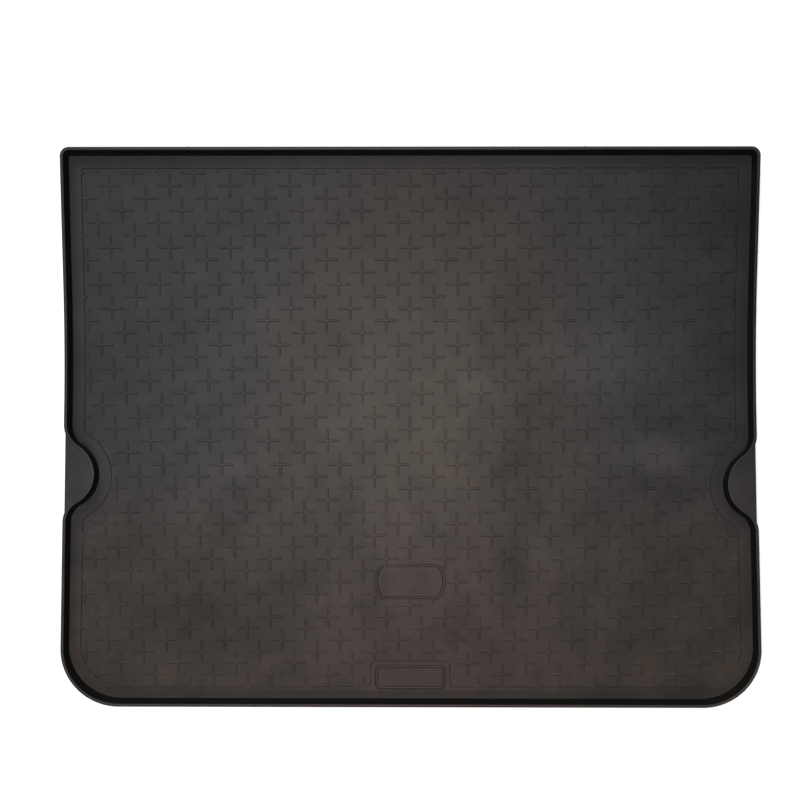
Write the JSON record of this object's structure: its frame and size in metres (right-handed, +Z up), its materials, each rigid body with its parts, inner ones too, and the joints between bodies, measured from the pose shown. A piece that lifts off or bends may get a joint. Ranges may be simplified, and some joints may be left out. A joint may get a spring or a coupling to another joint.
{
  "type": "car boot liner",
  "caption": "One-piece moulded rubber boot tray with a low wall and rim all round, a notch in each side, a sunk panel of raised crosses and bare plates.",
  "frame": {"origin": "middle of the underside, on the surface that the liner lies on", "axes": "+X across the car, along the longest side; +Y towards the seats; +Z up"},
  "size_m": [1.045, 0.826, 0.025],
  "materials": {
    "rubber": "satin, softly marbled, fine grain"
  },
  "bodies": {
    "root": {"liner": "rubber"}
  },
  "joints": []
}
